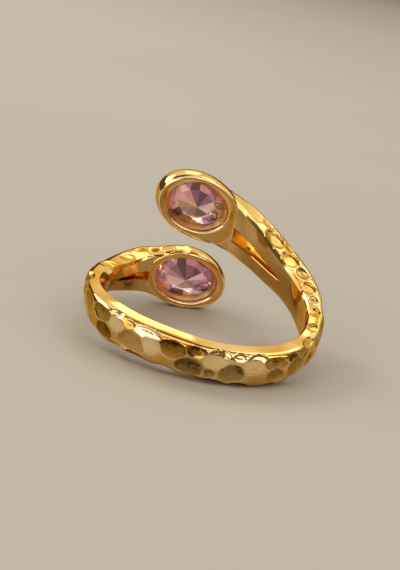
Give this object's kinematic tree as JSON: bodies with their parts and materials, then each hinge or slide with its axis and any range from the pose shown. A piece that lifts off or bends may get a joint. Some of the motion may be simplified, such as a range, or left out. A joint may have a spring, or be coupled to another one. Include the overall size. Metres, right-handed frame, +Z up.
{
  "type": "adjustable open ring",
  "caption": "Open finger ring with a hammered band whose two arms pass each other and end in oval bezels, each with a faceted oval stone seen through an open back.",
  "frame": {"origin": "on the floor, at the middle of the resting ring's bounding box in X and Y", "axes": "+Z up from the floor; +Y from the middle of the band towards the two heads; +X to the right when looking along +Y, on the side of the upper head's arm. The finger hole's axis leans 12.9 degrees from +Z"},
  "size_m": [0.0206, 0.0222, 0.013],
  "materials": {
    "gold_metal": "polished",
    "pink_stone": "gloss"
  },
  "bodies": {
    "root": {"ring_casting": "gold_metal", "upper_stone": "pink_stone", "lower_stone": "pink_stone"}
  },
  "joints": []
}
